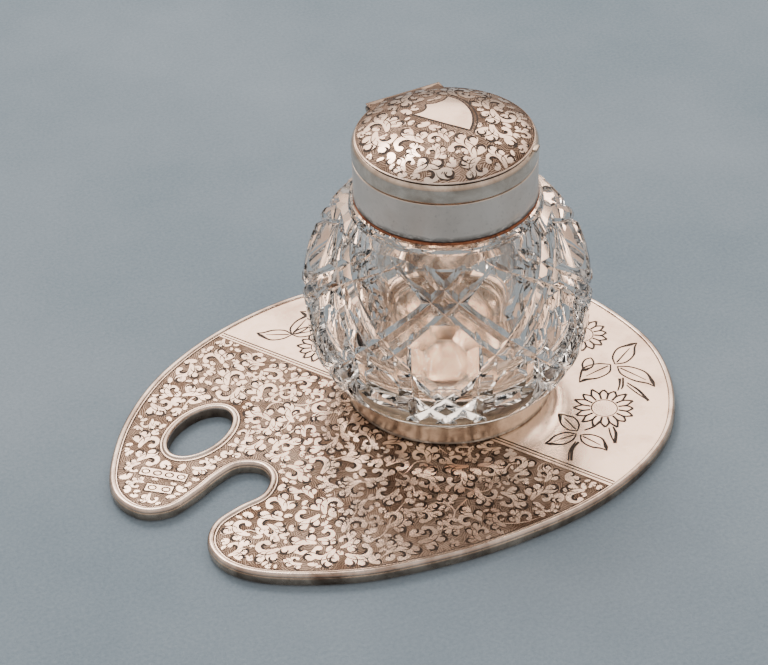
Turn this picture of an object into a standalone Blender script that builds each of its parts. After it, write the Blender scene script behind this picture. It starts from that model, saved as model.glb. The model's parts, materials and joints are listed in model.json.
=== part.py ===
"""Silver inkstand in the form of an artist's palette, with a lift-out cut-glass bottle and a hinged lid.

Origin: centre of the palette's box, on the surface it stands on. +X is the palette's long axis, +Z is up.
Dimensions below are millimetres and degrees; MM turns them into metres where a mesh is made.
"""

import math

import bmesh
import bpy
import numpy as np
from mathutils import Matrix, Vector

MM = 0.001
GAP = 0.2
MERGE = 1e-5

# Palette: a thin sheet inside a rounded border that is also its side wall.
BORDER_TOP = 3.5
BORDER_WIDTH = 2.4
BORDER_ROUND = 0.7
BORDER_CREASE = 60.0
PLATE_TOP = 3.1
PLATE_THICKNESS = 1.2
OUTLINE_STEPS = 4
OUTLINE = [
    (-6.5, 52.8), (-30.0, 46.0), (-48.7, 34.1), (-61.2, 19.5), (-68.6, 4.0), (-69.8, -6.0),
    (-65.6, -13.4), (-58.6, -15.2), (-51.2, -12.0), (-45.6, -8.5), (-40.2, -6.4), (-35.4, -8.4),
    (-34.3, -13.0), (-37.6, -17.8), (-44.0, -19.8), (-50.6, -23.2), (-53.8, -29.6), (-51.8, -37.2),
    (-44.6, -43.6), (-31.0, -49.2), (-16.0, -52.2), (8.0, -52.5), (34.0, -47.6), (54.4, -36.4),
    (65.4, -21.8), (70.0, -3.6), (67.4, 13.4), (60.0, 29.0), (45.0, 42.6), (22.0, 51.2),
]
THUMB_CENTRE = (-45.2, 8.7)
THUMB_SEMI = (9.8, 6.0)
THUMB_TURN = 36.0
THUMB_BORDER_WIDTH = 1.5
THUMB_POINTS = 32

# Bottle axis on the palette, and the gallery ring that holds the glass foot.
BOTTLE_AT = (17.6, 6.5)
GALLERY_OUTER = 25.5
GALLERY_WALL = 1.0
GALLERY_HEIGHT = 5.7

# Glass: a squat body on a foot that drops into the gallery, with a plain neck inside the collar.
FOOT_RADIUS = 24.1
FOOT_EDGE_Z = 9.3
BODY_RADIUS = 34.6
BODY_MID_Z = 29.2
BODY_RISE = 33.0
BODY_DROP = 28.6
BODY_POWER = 2.3
BODY_RINGS = 14
SHOULDER_Z = 53.2
FOOT_STEP = 0.1
FOOT_CHAMFER = 0.6
NECK_TOP_Z = 67.6
# (radius, z) from the middle of the cavity's floor up to the lip, then down the neck to its plain ring.
CAVITY = [
    (0.0, 15.5), (16.4, 15.5), (18.9, 17.3), (20.1, 21.0), (20.1, 36.0), (19.0, 43.0), (16.5, 49.0),
    (14.5, 52.5), (14.5, NECK_TOP_Z),
]
NECK = [(19.2, NECK_TOP_Z), (19.2, 57.6), (21.8, 57.6), (22.4, 56.8)]
FACETS_AROUND = 7
FACET_START = -111.0
FACET_SLAB = 10.0
# Each row of windows: its upward tilt, its turn as a share of one step, and how deep the flats are cut.
FACET_ROWS = [(8.5, 0.0, 1.5), (35.0, 0.5, 1.1), (-5.0, 0.5, 0.9)]

# Silver mounts on the neck.
COLLAR_RADIUS = 21.3
COLLAR_WALL = 0.9
COLLAR_BOTTOM_Z = 58.3
COLLAR_EDGE_ROUND = 0.2
SPLIT_Z = 68.5
RING_TOP_Z = 73.0
RING_WALL = 2.1
# The ring's rounded top: inset from its outside and drop from its top.
RING_CROWN = [(0.8, 0.0), (0.2, 0.5), (0.0, 1.4)]
CEMENT_WALL = 0.8
CEMENT_TOP_Z = 66.6
# The seam of cement pressed out between the neck ring and the collar.
SEAM_RADIUS = 21.2
SEAM_LOW_Z = 57.8
SEAM_HIGH_Z = 58.1

# Hinge at the back of the top ring.
HINGE_AZIMUTH = 98.0
HINGE_REACH = 20.0
HINGE_Z = 72.0
HINGE_HALF_LENGTH = 9.6
KNUCKLE_RADIUS = 1.0
KNUCKLE_BORE = 0.5
PIN_RADIUS = 0.45
KNUCKLES = 5
KNUCKLE_SPACE = 0.2
LEAF_THICKNESS = 0.6
LEAF_DEPTH = 1.7
LEAF_SHIFT = -0.25
CHORD_SHIFT = -1.3
SEAT_HEIGHT = 0.8
SEAT_DEPTH = 2.1
NOTCH_MARGIN = 0.5
# Half the size of the boxes that clear the back of the ring and of the lid.
WALL_REACH = 4.0

# Lid: a domed disc with a straight back, an inner rim and a small lug for the finger.
LID_RADIUS = 20.5
LID_BASE_Z = 73.2
LID_RISE = 3.0
LID_EDGE = 0.6
LID_EDGE_ROUND = 0.2
LID_SHEET = 0.7
LID_HOLLOW_INSET = 1.6
LID_RINGS = 6
RIM_RADIUS = 18.6
RIM_WALL = 0.7
RIM_DEPTH = 1.9
LUG_AZIMUTH = -39.0
LUG_SIZE = (1.3, 2.6, 0.7)
LUG_ROUND = 0.25

SILVER = (0.80, 0.77, 0.73, 1.0)
ENGRAVED = (0.62, 0.55, 0.49, 1.0)
TARNISH = (0.50, 0.42, 0.33, 1.0)
GLASS = (0.90, 0.93, 0.93, 1.0)
CEMENT = (0.32, 0.16, 0.10, 1.0)


def clear_scene():
    for item in list(bpy.data.objects):
        bpy.data.objects.remove(item, do_unlink=True)


def new_collection(name):
    collection = bpy.data.collections.new(name)
    bpy.context.scene.collection.children.link(collection)
    return collection


def material(name, colour, metallic, roughness):
    made = bpy.data.materials.new(name)
    made.use_nodes = True
    shader = made.node_tree.nodes["Principled BSDF"]
    shader.inputs["Base Color"].default_value = colour
    shader.inputs["Metallic"].default_value = metallic
    shader.inputs["Roughness"].default_value = roughness
    return made


def add_object(name, data, collection, at=(0.0, 0.0, 0.0), parent=None):
    made = bpy.data.objects.new(name, data)
    collection.objects.link(made)
    made.location = Vector(at) * MM
    made.parent = parent
    return made


def give(obj, colour, metallic, roughness, crease=35.0):
    """Gives a piece its own material and smooth shading that breaks at sharp edges."""
    obj.data.materials.append(material(obj.name, colour, metallic, roughness))
    obj.data.shade_smooth()
    obj.data.set_sharp_from_angle(angle=math.radians(crease))
    return obj


def smooth_loop(points, steps):
    """A closed Catmull-Rom curve through the points, centred on its own box."""
    p = np.array(points)
    before, after, beyond = np.roll(p, 1, 0), np.roll(p, -1, 0), np.roll(p, -2, 0)
    rows = []
    for step in range(steps):
        t = step / steps
        rows.append(
            0.5 * (2 * p + (after - before) * t
                   + (2 * before - 5 * p + 4 * after - beyond) * t ** 2
                   + (3 * p - before - 3 * after + beyond) * t ** 3)
        )
    loop = np.stack(rows, 1).reshape(-1, 2)
    return loop - (loop.min(0) + loop.max(0)) / 2


def offset_loop(loop, distance):
    """Moves each point of an anticlockwise loop inwards; a negative distance moves it outwards."""
    along = np.roll(loop, -1, 0) - np.roll(loop, 1, 0)
    along /= np.linalg.norm(along, axis=1)[:, None]
    inward = np.stack([-along[:, 1], along[:, 0]], 1)
    return loop + inward * distance


def ellipse_loop(centre, semi, turn, count):
    angles = np.linspace(0.0, 2 * math.pi, count, endpoint=False)
    flat = np.stack([semi[0] * np.cos(angles), semi[1] * np.sin(angles)], 1)
    c, s = math.cos(math.radians(turn)), math.sin(math.radians(turn))
    return flat @ np.array([[c, s], [-s, c]]) + np.array(centre)


def slab(name, loops, low, high, collection, at=(0.0, 0.0), parent=None):
    """A flat plate from z = low to z = high; the first loop is its outline and the others are holes."""
    curve = bpy.data.curves.new(name, "CURVE")
    curve.dimensions = "2D"
    curve.fill_mode = "BOTH"
    curve.extrude = (high - low) / 2 * MM
    for loop in loops:
        spline = curve.splines.new("POLY")
        spline.points.add(len(loop) - 1)
        for point, (x, y) in zip(spline.points, loop):
            point.co = (x * MM, y * MM, 0.0, 1.0)
        spline.use_cyclic_u = True
    draft = bpy.data.objects.new(name + "_draft", curve)
    collection.objects.link(draft)
    depsgraph = bpy.context.evaluated_depsgraph_get()
    mesh = bpy.data.meshes.new_from_object(draft.evaluated_get(depsgraph))
    bpy.data.objects.remove(draft, do_unlink=True)
    welded = bmesh.new()
    welded.from_mesh(mesh)
    bmesh.ops.remove_doubles(welded, verts=welded.verts, dist=MERGE)
    bmesh.ops.recalc_face_normals(welded, faces=welded.faces)
    welded.to_mesh(mesh)
    welded.free()
    mesh.name = name
    return add_object(name, mesh, collection, (at[0], at[1], (low + high) / 2), parent)


def turned(name, profile, collection, parent, closed, steps=64):
    """Turns a profile of (radius, z) points about the parent's Z axis."""
    mesh = bpy.data.meshes.new(name)
    shape = bmesh.new()
    corners = [shape.verts.new((r * MM, 0.0, z * MM)) for r, z in profile]
    for first, second in zip(corners, corners[1:]):
        shape.edges.new((first, second))
    if closed:
        shape.edges.new((corners[-1], corners[0]))
    shape.to_mesh(mesh)
    shape.free()
    made = add_object(name, mesh, collection, parent=parent)
    screw = made.modifiers.new("turn", "SCREW")
    screw.steps = steps
    screw.render_steps = steps
    screw.use_merge_vertices = True
    screw.merge_threshold = MERGE
    screw.use_smooth_shade = True
    return made


def tube_profile(outer, inner, low, high):
    return [(outer, high), (outer, low), (inner, low), (inner, high)]


def hinge_frame():
    """Axes at the hinge: x along the pin, y outwards from the bottle, z up."""
    azimuth = math.radians(HINGE_AZIMUTH)
    outward = Vector((math.cos(azimuth), math.sin(azimuth), 0.0))
    turn = Matrix.Rotation(azimuth - math.pi / 2, 4, "Z")
    return Matrix.Translation((outward * HINGE_REACH + Vector((0, 0, HINGE_Z))) * MM) @ turn


def cut(obj, cutter, operation="DIFFERENCE"):
    boolean = obj.modifiers.new(operation.lower(), "BOOLEAN")
    boolean.operation = operation
    boolean.object = cutter
    boolean.solver = "EXACT"


def box_mesh(name, size, centre):
    mesh = bpy.data.meshes.new(name)
    shape = bmesh.new()
    bmesh.ops.create_cube(shape, size=1.0, matrix=Matrix.Translation(Vector(centre) * MM)
                          @ Matrix.Diagonal((*(s * MM for s in size), 1.0)))
    shape.to_mesh(mesh)
    shape.free()
    return mesh


def rod_mesh(name, radius, length, centre=0.0, sides=24):
    """A rod along X whose middle is at x = centre."""
    mesh = bpy.data.meshes.new(name)
    shape = bmesh.new()
    lie = Matrix.Translation((centre * MM, 0.0, 0.0)) @ Matrix.Rotation(math.pi / 2, 4, "Y")
    bmesh.ops.create_cone(shape, cap_ends=True, segments=sides, radius1=radius * MM, radius2=radius * MM,
                          depth=length * MM, matrix=lie)
    shape.to_mesh(mesh)
    shape.free()
    return mesh


def make_cutter(name, mesh, cutters, parent):
    made = add_object(name, mesh, cutters, parent=parent)
    made.hide_render = True
    made.display_type = "WIRE"
    return made


def build_palette(parts):
    outline = smooth_loop(OUTLINE, OUTLINE_STEPS)
    thumb = ellipse_loop(THUMB_CENTRE, THUMB_SEMI, THUMB_TURN, THUMB_POINTS)
    inner = offset_loop(outline, BORDER_WIDTH)
    border = slab("palette_border", [outline, inner], 0.0, BORDER_TOP, parts)
    outer = offset_loop(thumb, -THUMB_BORDER_WIDTH)
    hole = slab("thumb_hole_border", [outer, thumb], 0.0, BORDER_TOP, parts)
    for piece, width in ((border, BORDER_ROUND), (hole, BORDER_ROUND / 2)):
        rounding = piece.modifiers.new("rounded", "BEVEL")
        rounding.width = width * MM
        rounding.segments = 2
        rounding.angle_limit = math.radians(BORDER_CREASE)
        give(piece, SILVER, 1.0, 0.22)
    edge = offset_loop(outline, BORDER_WIDTH + GAP)
    opening = offset_loop(thumb, -THUMB_BORDER_WIDTH - GAP)
    plate = slab("palette_plate", [edge, opening], PLATE_TOP - PLATE_THICKNESS, PLATE_TOP, parts)
    give(plate, ENGRAVED, 1.0, 0.35)


def build_gallery(parts, axis):
    low = PLATE_TOP + GAP
    profile = tube_profile(GALLERY_OUTER, GALLERY_OUTER - GALLERY_WALL, low, low + GALLERY_HEIGHT)
    ring = turned("gallery_ring", profile, parts, axis, closed=True, steps=56)
    give(ring, TARNISH, 1.0, 0.4)


def body_radius(z):
    """Radius of the glass body before its facets are cut."""
    reach = BODY_RISE if z > BODY_MID_Z else BODY_DROP
    return BODY_RADIUS * (1 - (abs(z - BODY_MID_Z) / reach) ** BODY_POWER) ** (1 / BODY_POWER)


def glass_profile():
    """From the cavity's floor up the inside, over the lip, and down the outside to the foot."""
    body = [(body_radius(z), z) for z in np.linspace(SHOULDER_Z, FOOT_EDGE_Z, BODY_RINGS)]
    low = PLATE_TOP + GAP
    foot = [(FOOT_RADIUS, FOOT_EDGE_Z - FOOT_STEP), (FOOT_RADIUS, low + FOOT_CHAMFER)]
    return CAVITY + NECK + body + foot + [(FOOT_RADIUS - FOOT_CHAMFER, low), (0.0, low)]


def facet_cutter(row, cutters, axis):
    """Flat slabs that cut one row of polished windows all round the body."""
    mesh = bpy.data.meshes.new("facets")
    shape = bmesh.new()
    step = 360.0 / FACETS_AROUND
    size = (FACET_SLAB * MM, 2 * FACET_SLAB * MM, 2 * FACET_SLAB * MM, 1.0)
    tilt, shift, depth = row
    for index in range(FACETS_AROUND):
        azimuth = math.radians(FACET_START + (shift + index) * step)
        place = (Matrix.Translation((0, 0, BODY_MID_Z * MM)) @ Matrix.Rotation(azimuth, 4, "Z")
                 @ Matrix.Rotation(math.radians(-tilt), 4, "Y")
                 @ Matrix.Translation(((BODY_RADIUS - depth + FACET_SLAB / 2) * MM, 0, 0))
                 @ Matrix.Diagonal(size))
        bmesh.ops.create_cube(shape, size=1.0, matrix=place)
    shape.to_mesh(mesh)
    shape.free()
    return make_cutter("facet_cutter", mesh, cutters, axis)


def build_glass(parts, cutters, axis):
    glass = turned("glass_bottle", glass_profile(), parts, axis, closed=False, steps=48)
    for row in FACET_ROWS:
        cut(glass, facet_cutter(row, cutters, axis))
    give(glass, GLASS, 0.0, 0.03)


def build_collar(parts, cutters, axis, hinge):
    inner = COLLAR_RADIUS - COLLAR_WALL
    sleeve = inner - GAP
    seam = [(SEAM_RADIUS, SEAM_HIGH_Z), (SEAM_RADIUS, SEAM_LOW_Z)]
    back = [(sleeve - CEMENT_WALL, SEAM_LOW_Z), (sleeve - CEMENT_WALL, CEMENT_TOP_Z)]
    cement = [(sleeve, CEMENT_TOP_Z), (sleeve, SEAM_HIGH_Z)] + seam + back
    give(turned("neck_cement", cement, parts, axis, closed=True, steps=40), CEMENT, 0.0, 0.8)
    band = tube_profile(COLLAR_RADIUS, inner, COLLAR_BOTTOM_Z, SPLIT_Z - GAP / 2)
    band[1] = (COLLAR_RADIUS - COLLAR_EDGE_ROUND, COLLAR_BOTTOM_Z)
    give(turned("collar_band", band, parts, axis, closed=True, steps=56), SILVER, 1.0, 0.16)
    bottom = SPLIT_Z + GAP / 2
    bore = COLLAR_RADIUS - RING_WALL
    shell = [(COLLAR_RADIUS, bottom), (bore, bottom), (bore, RING_TOP_Z)]
    crown = [(COLLAR_RADIUS - inset, RING_TOP_Z - drop) for inset, drop in RING_CROWN]
    ring = turned("collar_top_ring", shell + crown, parts, axis, closed=True, steps=56)
    floor = -KNUCKLE_RADIUS - SEAT_HEIGHT - 2 * GAP
    notch_size = (2 * (HINGE_HALF_LENGTH + NOTCH_MARGIN), 2 * WALL_REACH, 2 * WALL_REACH)
    notch_at = (0, WALL_REACH - KNUCKLE_RADIUS - GAP, WALL_REACH + floor)
    cut(ring, make_cutter("hinge_notch", box_mesh("hinge_notch", notch_size, notch_at), cutters, hinge))
    give(ring, SILVER, 1.0, 0.16)


def knuckle_span(index):
    """Low and high end, along the pin, of one of the hinge's knuckles."""
    pitch = 2 * HINGE_HALF_LENGTH / KNUCKLES
    low = -HINGE_HALF_LENGTH + index * pitch
    return low + KNUCKLE_SPACE / 2, low + pitch - KNUCKLE_SPACE / 2


def build_hinge(parts, cutters, hinge, lid_hinge):
    bore_mesh = rod_mesh("pin_bore", KNUCKLE_BORE, 4 * HINGE_HALF_LENGTH)
    bore = make_cutter("pin_bore", bore_mesh, cutters, hinge)
    for index in range(KNUCKLES):
        low, high = knuckle_span(index)
        on_lid = index % 2 == 1
        name = f"{'lid' if on_lid else 'collar'}_knuckle_{index + 1}"
        mesh = rod_mesh(name, KNUCKLE_RADIUS, high - low, (low + high) / 2)
        knuckle = add_object(name, mesh, parts, parent=lid_hinge if on_lid else hinge)
        cut(knuckle, bore)
        give(knuckle, SILVER, 1.0, 0.2)
    pin_mesh = rod_mesh("hinge_pin", PIN_RADIUS, 2 * HINGE_HALF_LENGTH)
    pin = add_object("hinge_pin", pin_mesh, parts, parent=hinge)
    give(pin, TARNISH, 1.0, 0.3)
    width = 2 * HINGE_HALF_LENGTH
    seat_middle = -KNUCKLE_RADIUS - GAP - SEAT_HEIGHT / 2
    seat = box_mesh("collar_hinge_seat", (width, SEAT_DEPTH, SEAT_HEIGHT), (0, 0, seat_middle))
    give(add_object("collar_hinge_seat", seat, parts, parent=hinge), SILVER, 1.0, 0.2)
    leaf_middle = LID_BASE_Z - HINGE_Z + LEAF_THICKNESS / 2
    leaf = box_mesh("lid_hinge_leaf", (width, LEAF_DEPTH, LEAF_THICKNESS), (0, LEAF_SHIFT, leaf_middle))
    give(add_object("lid_hinge_leaf", leaf, parts, parent=lid_hinge), SILVER, 1.0, 0.2)


def lid_profile():
    """Outer dome down to the edge, then back under it to the axis."""
    radii = np.linspace(0.0, 1.0, LID_RINGS)
    edge_z = LID_BASE_Z + LID_EDGE
    crown = LID_RISE - LID_EDGE
    reach = LID_RADIUS - LID_EDGE_ROUND
    outer = [(r * reach, edge_z + crown * (1 - r ** 2)) for r in radii]
    outer += [(LID_RADIUS, edge_z - LID_EDGE_ROUND), (LID_RADIUS, LID_BASE_Z)]
    hollow = LID_RADIUS - LID_HOLLOW_INSET
    inner = [(r * hollow, LID_BASE_Z + (LID_RISE - LID_SHEET) * (1 - r ** 2)) for r in radii[::-1]]
    return outer + inner


def build_lid(parts, cutters, lid_hinge, lid_axis):
    top = turned("lid_top", lid_profile(), parts, lid_axis, closed=False, steps=56)
    chord_size = (2 * LID_RADIUS, 2 * WALL_REACH, 2 * WALL_REACH)
    chord = box_mesh("hinge_chord", chord_size, (0, WALL_REACH + CHORD_SHIFT, 0))
    cut(top, make_cutter("hinge_chord", chord, cutters, lid_hinge))
    give(top, ENGRAVED, 1.0, 0.3)
    rim_top = LID_BASE_Z - GAP
    rim = tube_profile(RIM_RADIUS, RIM_RADIUS - RIM_WALL, rim_top - RIM_DEPTH, rim_top)
    give(turned("lid_inner_rim", rim, parts, lid_axis, closed=True, steps=56), SILVER, 1.0, 0.25)
    azimuth = math.radians(LUG_AZIMUTH)
    mesh = box_mesh("lid_lift_lug", LUG_SIZE, (LID_RADIUS + GAP + LUG_SIZE[0] / 2, 0, 0))
    lug = add_object("lid_lift_lug", mesh, parts, (0, 0, LID_BASE_Z + LUG_SIZE[2] / 2), lid_axis)
    lug.rotation_euler = (0, 0, azimuth)
    rounding = lug.modifiers.new("rounded", "BEVEL")
    rounding.width = LUG_ROUND * MM
    rounding.segments = 2
    give(lug, SILVER, 1.0, 0.2)


def build():
    clear_scene()
    parts = new_collection("palette_inkstand")
    cutters = new_collection("cutters")
    axis = add_object("bottle_axis", None, parts, (*BOTTLE_AT, 0.0))
    hinge = add_object("hinge_axis", None, parts, parent=axis)
    hinge.matrix_local = hinge_frame()
    lid_hinge = add_object("lid_hinge_axis", None, parts, parent=hinge)
    lid_axis = add_object("lid_axis", None, parts, parent=lid_hinge)
    lid_axis.matrix_local = hinge_frame().inverted()
    build_palette(parts)
    build_gallery(parts, axis)
    build_glass(parts, cutters, axis)
    build_collar(parts, cutters, axis, hinge)
    build_hinge(parts, cutters, hinge, lid_hinge)
    build_lid(parts, cutters, lid_hinge, lid_axis)


build()
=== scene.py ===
"""Looks of a palette-shaped silver inkstand with a cut-glass bottle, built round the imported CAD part.

Lengths are millimetres until a mesh is made, and the origin is the CAD part's own.
"""

import json
import math
import random

import bmesh
import bpy
import numpy as np
from mathutils import Matrix, Vector
from mathutils.geometry import delaunay_2d_cdt


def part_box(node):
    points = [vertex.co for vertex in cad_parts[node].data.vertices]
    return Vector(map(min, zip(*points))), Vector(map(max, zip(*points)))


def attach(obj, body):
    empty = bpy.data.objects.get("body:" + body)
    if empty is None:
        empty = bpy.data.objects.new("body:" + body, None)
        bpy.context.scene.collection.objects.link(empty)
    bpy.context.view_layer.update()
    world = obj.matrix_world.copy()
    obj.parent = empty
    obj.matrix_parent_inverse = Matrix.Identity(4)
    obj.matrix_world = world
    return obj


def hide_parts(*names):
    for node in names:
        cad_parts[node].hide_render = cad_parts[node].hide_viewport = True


MM = 0.001

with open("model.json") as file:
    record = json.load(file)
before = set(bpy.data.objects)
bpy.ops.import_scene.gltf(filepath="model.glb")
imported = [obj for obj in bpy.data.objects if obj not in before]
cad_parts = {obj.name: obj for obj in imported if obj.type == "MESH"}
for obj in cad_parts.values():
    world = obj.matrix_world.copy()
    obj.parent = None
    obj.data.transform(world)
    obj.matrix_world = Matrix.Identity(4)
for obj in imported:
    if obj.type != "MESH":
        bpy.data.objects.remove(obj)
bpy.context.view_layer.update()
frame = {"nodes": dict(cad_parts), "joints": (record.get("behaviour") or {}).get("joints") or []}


def box_mm(node):
    low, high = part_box(node)
    return np.array(low) / MM, np.array(high) / MM


def radius_mm(node):
    low, high = box_mm(node)
    return (high[0] - low[0]) / 2


band_low, band_high = box_mm("collar_band")
ring_low, ring_high = box_mm("collar_top_ring")
lid_low, lid_high = box_mm("lid_top")
rim_low, rim_high = box_mm("lid_inner_rim")
glass_low, glass_high = box_mm("glass_bottle")
gallery_low, gallery_high = box_mm("gallery_ring")
cement_low, cement_high = box_mm("neck_cement")
GALLERY_R = radius_mm("gallery_ring")
COLLAR_R = radius_mm("collar_band")
LID_R = radius_mm("lid_top")
BAND_Z, BAND_TOP = band_low[2], band_high[2]
PLATE_Z = box_mm("palette_plate")[1][2]
TOP_Z = box_mm("palette_border")[1][2]
AXIS = (band_low[:2] + band_high[:2]) / 2
HINGE = next(j for j in frame["joints"] if j["name"] == "lid_hinge")
HINGE_AT = np.array(HINGE["pos_m"]) / MM


# ---------------------------------------------------------------- meshes

TINY = 1e-6
# The faces of a slab from its four lower and four upper corners.
SLAB_FACES = [(0, 1, 2, 3), (4, 5, 6, 7), (0, 1, 5, 4), (1, 2, 6, 5), (2, 3, 7, 6), (3, 0, 4, 7)]


def add_object(name, data):
    made = bpy.data.objects.new(name, data)
    bpy.context.scene.collection.objects.link(made)
    return made


def soften(mesh, crease):
    """Smooth shading, with edges sharper than an angle in degrees kept sharp."""
    mesh.shade_smooth()
    mesh.set_sharp_from_angle(angle=math.radians(crease))


def new_object(name, verts, faces, materials=(), face_slots=None, smooth=True, crease=None, solid=True):
    """A mesh object from points in millimetres."""
    mesh = bpy.data.meshes.new(name)
    mesh.from_pydata([tuple(map(float, v)) for v in np.asarray(verts) * MM], [], faces)
    for item in materials:
        mesh.materials.append(item)
    if face_slots is not None:
        mesh.polygons.foreach_set("material_index", face_slots)
    if solid:
        shape = bmesh.new()
        shape.from_mesh(mesh)
        bmesh.ops.recalc_face_normals(shape, faces=shape.faces)
        shape.to_mesh(mesh)
        shape.free()
    if crease is not None:
        soften(mesh, crease)
    elif smooth:
        mesh.shade_smooth()
    return add_object(name, mesh)


def settle(obj, body, slot, *nodes):
    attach(obj, body)
    if nodes:
        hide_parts(*nodes)
    return obj


def whole_turn(steps):
    return np.linspace(0, 2 * math.pi, steps, endpoint=False)


def headings(angle):
    """Unit vectors that point along angles."""
    return np.stack([np.cos(angle), np.sin(angle)], 1)


def grid_faces(rows, columns, close_rows, close_columns):
    """Quads of a grid of points stored row by row."""
    faces = []
    for i in range(rows if close_rows else rows - 1):
        for j in range(columns if close_columns else columns - 1):
            a, b = i * columns + j, i * columns + (j + 1) % columns
            c, d = (i + 1) % rows * columns + (j + 1) % columns, (i + 1) % rows * columns + j
            faces.append((a, b, c, d))
    return faces


def lathe(name, profile, material, steps=256, wobble=None, crease=30.0, closed=True):
    """A ring turned about the bottle's axis from a profile of (radius, z) points."""
    profile = np.array(profile, float)
    angle = whole_turn(steps)[:, None]
    radius = np.repeat(profile[None, :, 0], steps, 0)
    height = np.repeat(profile[None, :, 1], steps, 0)
    if wobble is not None:
        radius, height = wobble(angle, radius, height)
    verts = np.stack([AXIS[0] + radius * np.cos(angle), AXIS[1] + radius * np.sin(angle), height], -1)
    faces = grid_faces(steps, len(profile), True, closed)
    return new_object(name, verts.reshape(-1, 3), faces, [material], crease=crease)


def about(radius, z, *points):
    """Profile points measured from a radius and a height."""
    return [(radius + across, z + up) for across, up in points]


def rounded(profile, share=0.35, longest=0.45, steps=5):
    """Rounds the corners of a closed profile by cutting each with a short curve."""
    p = np.array(profile, float)
    rows = []
    for a, b, c in zip(np.roll(p, 1, 0), p, np.roll(p, -1, 0)):
        to_a, to_c = np.linalg.norm(a - b), np.linalg.norm(c - b)
        reach = min(share * min(to_a, to_c), longest)
        start = b + (a - b) / max(to_a, 1e-9) * reach
        end = b + (c - b) / max(to_c, 1e-9) * reach
        rows += [(1 - t) ** 2 * start + 2 * t * (1 - t) * b + t ** 2 * end for t in np.linspace(0, 1, steps)]
    return np.array(rows)


def catmull_rom(a, b, c, d, t):
    """The point at a share t of the way from b to c, on a curve that comes from a and goes on to d."""
    return 0.5 * (2 * b + (c - a) * t + (2 * a - 5 * b + 4 * c - d) * t ** 2
                  + (3 * b - a - 3 * c + d) * t ** 3)


def spline_loop(points, steps):
    """A closed smooth curve through the points."""
    p = np.array(points, float)
    before, after, beyond = np.roll(p, 1, 0), np.roll(p, -1, 0), np.roll(p, -2, 0)
    rows = [catmull_rom(before, p, after, beyond, t) for t in np.arange(steps) / steps]
    return np.stack(rows, 1).reshape(-1, p.shape[1])


def spline(points, steps=8):
    """An open smooth curve through the points."""
    p = np.array(points, float)
    padded = np.vstack([2 * p[0] - p[1], p, 2 * p[-1] - p[-2]])
    rows = [catmull_rom(*four, t) for four in zip(padded, padded[1:], padded[2:], padded[3:])
            for t in np.arange(steps) / steps]
    return np.vstack([rows, p[-1]])


def area(loop):
    x, y = np.array(loop).T
    return 0.5 * float(np.sum(x * np.roll(y, -1) - y * np.roll(x, -1)))


def anticlockwise(loop):
    loop = np.array(loop, float)
    return loop if area(loop) > 0 else loop[::-1]


def inset(loop, distance):
    """Moves an anticlockwise loop inwards; a negative distance moves it outwards."""
    along = np.roll(loop, -1, 0) - np.roll(loop, 1, 0)
    along /= np.linalg.norm(along, axis=1)[:, None]
    return loop + np.stack([-along[:, 1], along[:, 0]], 1) * distance


def node_loops(node):
    """The level outlines of a CAD ring where its side wall begins, longest first."""
    mesh = frame["nodes"][node].data
    points = np.array([v.co for v in mesh.vertices]) / MM
    levels = sorted(set(np.round(points[:, 2], 2)))
    level = levels[len(levels) // 2 - 1]
    names, corner = {}, []
    for p in points:
        corner.append(names.setdefault(tuple(np.round(p[:2], 3)), len(names)))
    flat = np.array(list(names))
    links = {}
    for edge in mesh.edges:
        a, b = edge.vertices
        off_level = max(abs(points[a, 2] - level), abs(points[b, 2] - level))
        if off_level < 0.02 and corner[a] != corner[b]:
            links.setdefault(corner[a], set()).add(corner[b])
            links.setdefault(corner[b], set()).add(corner[a])
    loops = []
    left = set(links)
    while left:
        start = min(left)
        loop, here, previous = [start], min(links[start]), start
        while here != start:
            loop.append(here)
            here, previous = next(n for n in sorted(links[here]) if n != previous), here
        left -= set(loop)
        loops.append(anticlockwise(flat[loop]))
    return sorted(loops, key=lambda item: -area(item))


def inside(loop, points):
    """Which of the points are inside a closed loop."""
    points = np.asarray(points, float)
    found = np.zeros(len(points), bool)
    for (ax, ay), (bx, by) in zip(np.asarray(loop), np.roll(loop, -1, 0)):
        if ay == by:
            continue
        crosses = (points[:, 1] > min(ay, by)) & (points[:, 1] <= max(ay, by))
        x = ax + (points[:, 1] - ay) * (bx - ax) / (by - ay)
        found ^= crosses & (points[:, 0] < x)
    return found


def swept(name, loop, profile, materials, second_material):
    """A band along a closed loop from a profile of (distance inwards, z) points.

    second_material says at which of them the second, darker material begins.
    """
    rings = [np.column_stack([inset(loop, d), np.full(len(loop), z)]) for d, z in profile]
    verts = np.stack(rings, 1).reshape(-1, 3)
    faces = grid_faces(len(loop), len(profile), True, True)
    slots = [int(second_material(*point)) for point in profile] * len(loop)
    return new_object(name, verts, faces, materials, slots, crease=60.0)


def finer(node, body, slot, material, width):
    """A small CAD piece again, with rounded edges."""
    shape = bmesh.new()
    shape.from_mesh(frame["nodes"][node].data)
    bmesh.ops.remove_doubles(shape, verts=shape.verts, dist=TINY)
    bmesh.ops.dissolve_limit(shape, angle_limit=math.radians(1.0), verts=shape.verts, edges=shape.edges)
    sharp = [edge for edge in shape.edges if edge.is_manifold and edge.calc_face_angle() > math.radians(40.0)]
    bmesh.ops.bevel(shape, geom=sharp, offset=width * MM, segments=3, profile=0.5, affect="EDGES",
                    clamp_overlap=True)
    made = add_object(node + "_fine", bpy.data.meshes.new(node + "_fine"))
    shape.to_mesh(made.data)
    shape.free()
    made.data.materials.append(material)
    soften(made.data, 50.0)
    return settle(made, body, slot, node)


# ---------------------------------------------------------------- materials


def set_stops(ramp, stops):
    elements = ramp.elements
    while len(elements) < len(stops):
        elements.new(0.5)
    for element, (position, colour) in zip(elements, stops):
        element.position = position
        element.color = (*colour, 1.0)


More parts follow.
